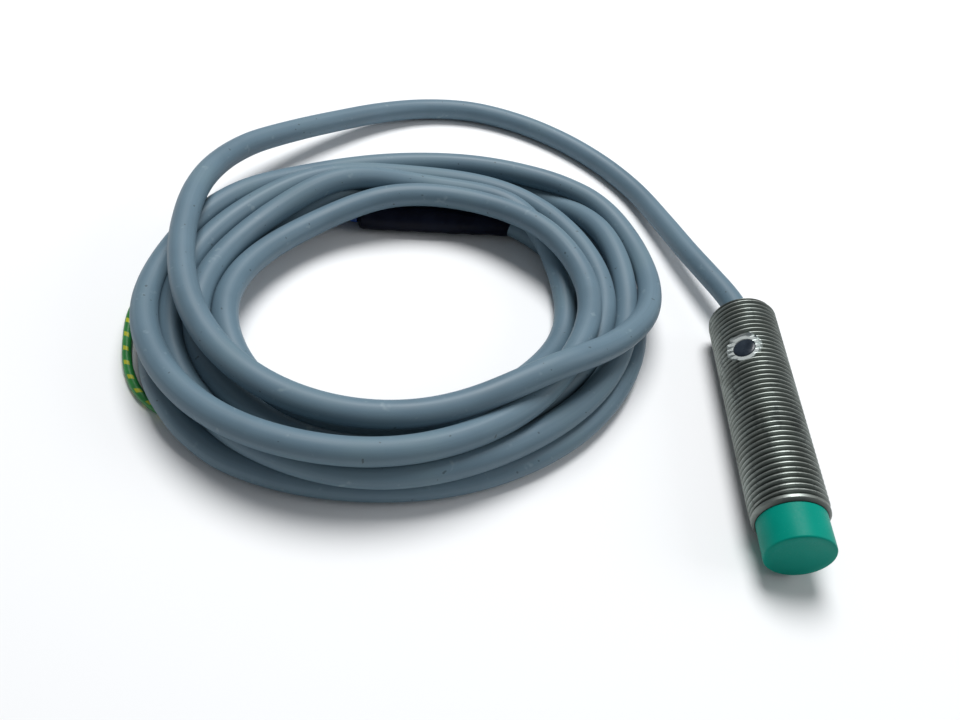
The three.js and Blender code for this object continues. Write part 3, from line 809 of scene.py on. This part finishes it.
def earth_insulation():
    """Green insulation with a yellow stripe that winds round the core."""
    look = Look("core_green_yellow", (0.013, 0.2, 0.032), 0.4)
    split = look.node("ShaderNodeSeparateXYZ")
    look.link(look.node("ShaderNodeUVMap", uv_map="along").outputs[0], split.inputs[0])
    along = look.math("MULTIPLY", split.outputs[1], 1 / 0.0031)
    phase = look.math("FRACT", look.math("ADD", along, split.outputs[0]))
    away = look.math("ABSOLUTE", look.math("SUBTRACT", phase, 0.5))
    wobble = look.math("MULTIPLY", look.noise(900.0, 2.0), 0.06)
    stripe = look.remap(look.math("ADD", away, wobble), 0.15, 0.2, 1.0, 0.0)
    around = look.math("SINE", look.math("MULTIPLY", split.outputs[0], 6 * math.pi))
    stripe = look.math("MULTIPLY", stripe, look.remap(around, -0.35, 0.1, 0.0, 1.0))
    drift = look.noise(400.0, 3.0)
    green = look.ramp(drift, [(0.3, (0.010, 0.16, 0.030)), (0.7, (0.022, 0.25, 0.046))])
    look.colour(look.mix(stripe, green, (0.45, 0.47, 0.012)))
    look.rough(look.remap(drift, 0.3, 0.7, 0.32, 0.48))
    look.bump(look.noise(1800.0, 2.0), 0.15, 0.00002)
    return look.material


def smoked_lens():
    look = Look("smoked_lens", (0.012, 0.02, 0.03), 0.25, 0.0, Specular_IOR_Level=0.35)
    depth = look.noise(600.0, 2.0)
    look.colour(look.ramp(depth, [(0.3, (0.009, 0.015, 0.024)), (0.7, (0.018, 0.028, 0.042))]))
    look.rough(look.remap(depth, 0.3, 0.7, 0.2, 0.34))
    look.bump(depth, 0.1, 0.00002)
    return look.material


def metal(name, colour, rough, stretch=(1, 1, 1)):
    look = Look(name, colour, rough, 1.0)
    streaks = look.noise(700.0, 3.0, stretch)
    look.colour(look.mix(look.remap(streaks, 0.3, 0.7, 0.0, 1.0), tint(colour, 0.8), colour))
    look.rough(look.remap(streaks, 0.3, 0.7, rough - 0.08, rough + 0.1))
    look.bump(streaks, 0.2, 0.00002)
    return look.material


def winding_copper():
    """Enamelled wire: fine turns round the former."""
    look = Look("winding_copper", (0.5, 0.16, 0.05), 0.28, 1.0)
    rings = look.node("ShaderNodeTexWave", wave_type="BANDS", bands_direction="Y")
    rings.inputs["Scale"].default_value = 1500.0
    rings.inputs["Distortion"].default_value = 0.4
    look.link(look.coordinates(), rings.inputs["Vector"])
    turns = rings.outputs["Fac"]
    look.colour(look.ramp(turns, [(0.0, (0.2, 0.05, 0.015)), (0.7, (0.55, 0.19, 0.06))]))
    look.rough(look.remap(turns, 0.0, 1.0, 0.22, 0.4))
    look.bump(turns, 0.5, 0.00005)
    return look.material


def board_mask():
    """Green solder mask with paler tracks under it."""
    look = Look("board_mask", (0.02, 0.13, 0.05), 0.35, 0.0, Coat_Weight=0.3)
    bricks = look.node("ShaderNodeTexBrick")
    bricks.inputs["Scale"].default_value = 420.0
    bricks.inputs["Mortar Size"].default_value = 0.05
    bricks.inputs["Color1"].default_value = (0.02, 0.12, 0.045, 1)
    bricks.inputs["Color2"].default_value = (0.03, 0.16, 0.06, 1)
    bricks.inputs["Mortar"].default_value = (0.05, 0.24, 0.09, 1)
    look.link(look.coordinates(), bricks.inputs["Vector"])
    look.colour(bricks.outputs["Color"])
    grain = look.noise(900.0, 3.0)
    look.rough(look.remap(grain, 0.3, 0.7, 0.28, 0.45))
    look.bump(bricks.outputs["Fac"], 0.15, 0.00002)
    return look.material


def clear_plastic():
    look = Look("clear_plastic", (0.9, 0.94, 0.95), 0.08, 0.0, Transmission_Weight=0.9, IOR=1.49)
    cloud = look.noise(500.0, 2.0)
    look.rough(look.remap(cloud, 0.3, 0.7, 0.05, 0.14))
    look.bump(cloud, 0.05, 0.00002)
    return look.material


LOOKS = {
    "nickel": nickel(),
    "cap_plastic": cap_plastic(),
    "ferrite": moulded("ferrite", (0.03, 0.03, 0.034), 0.7, 2200.0, 0.5, 0.3),
    "nylon": moulded("natural_nylon", (0.66, 0.61, 0.5), 0.5),
    "copper": winding_copper(),
    "board": board_mask(),
    "chip": moulded("chip_epoxy", (0.013, 0.013, 0.015), 0.55, 3000.0, 0.4, 0.25),
    "ceramic": moulded("ceramic", (0.44, 0.31, 0.19), 0.5, 2400.0, 0.3, 0.15),
    "led": moulded("led_package", (0.78, 0.76, 0.66), 0.25, 1800.0, 0.1, 0.05),
    "clear": clear_plastic(),
    "lens": smoked_lens(),
    "brass": metal("bare_brass", (0.62, 0.43, 0.15), 0.3, (1, 12, 1)),
    "resin": moulded("potting_resin", (0.03, 0.05, 0.055), 0.3, 500.0, 0.2, 0.2),
    "bushing": moulded("bushing_plastic", (0.004, 0.15, 0.115), 0.5),
    "jacket": jacket(),
    "sleeve": shrink_black(),
    "core_brown": moulded("core_brown", (0.1, 0.035, 0.014), 0.42),
    "core_blue": moulded("core_blue", (0.014, 0.08, 0.34), 0.42),
    "core_earth": earth_insulation(),
    "tinned": metal("tinned_copper", (0.6, 0.61, 0.63), 0.28),
}


def dress_cad_nodes():
    """Gives every CAD node the look of its slot."""
    slots = {row["node"]: row["material_slot"] for row in frame["record"]["subparts"]}
    for name, obj in frame["nodes"].items():
        for entry in obj.material_slots:
            entry.material = LOOKS[slots[name]]


PIECES = [
    (barrel, "nickel", ["threaded_barrel"]),
    (cap, "cap_plastic", ["sensing_cap"]),
    (lens, "lens", ["indicator_lens"]),
    (bushing, "bushing", ["rear_bushing"]),
    (cable, "jacket", ["cable_lead", "cable_coil"]),
    (sleeve, "sleeve", ["end_sleeve"]),
    (core_earth, "core_earth", ["core_earth"]),
    (core_brown, "core_brown", ["core_brown"]),
    (core_blue, "core_blue", ["core_blue"]),
    (ferrule_earth, "tinned", ["ferrule_earth"]),
    (ferrule_brown, "tinned", ["ferrule_brown"]),
    (ferrule_blue, "tinned", ["ferrule_blue"]),
]

dress_cad_nodes()
for piece, slot, nodes in PIECES:
    piece.data.materials.clear()
    piece.data.materials.append(LOOKS[slot])
    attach(piece, "root")
    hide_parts(*nodes)


# ---------------------------------------------------------------- floor and light


def make_floor():
    mesh = bpy.data.meshes.new("floor")
    s = 3.0
    mesh.from_pydata([(-s, -s, 0), (s, -s, 0), (s, s, 0), (-s, s, 0)], [], [(0, 1, 2, 3)])
    floor = new_object("floor", mesh)
    look = Look("pale_floor", (0.84, 0.85, 0.86), 0.7)
    floor.data.materials.append(look.material)


def area_light(name, place, aim, size, power):
    data = bpy.data.lights.new(name, "AREA")
    data.shape = "DISK"
    data.size = size
    data.energy = power
    light = bpy.data.objects.new(name, data)
    light.location = place
    light.rotation_euler = (Vector(aim) - Vector(place)).to_track_quat("-Z", "Y").to_euler()
    bpy.context.collection.objects.link(light)


def make_lights():
    world = bpy.data.worlds.new("studio")
    world.use_nodes = True
    world.node_tree.nodes["Background"].inputs[0].default_value = (0.93, 0.96, 1.0, 1)
    world.node_tree.nodes["Background"].inputs[1].default_value = 0.22
    bpy.context.scene.world = world
    aim = (-0.04, 0.02, 0.0)
    area_light("top", (-0.06, 0.34, 0.70), aim, 0.45, 6.6)
    area_light("right", (0.55, 0.05, 0.35), aim, 0.4, 1.0)


make_floor()
make_lights()
bpy.context.scene.view_settings.view_transform = "Standard"
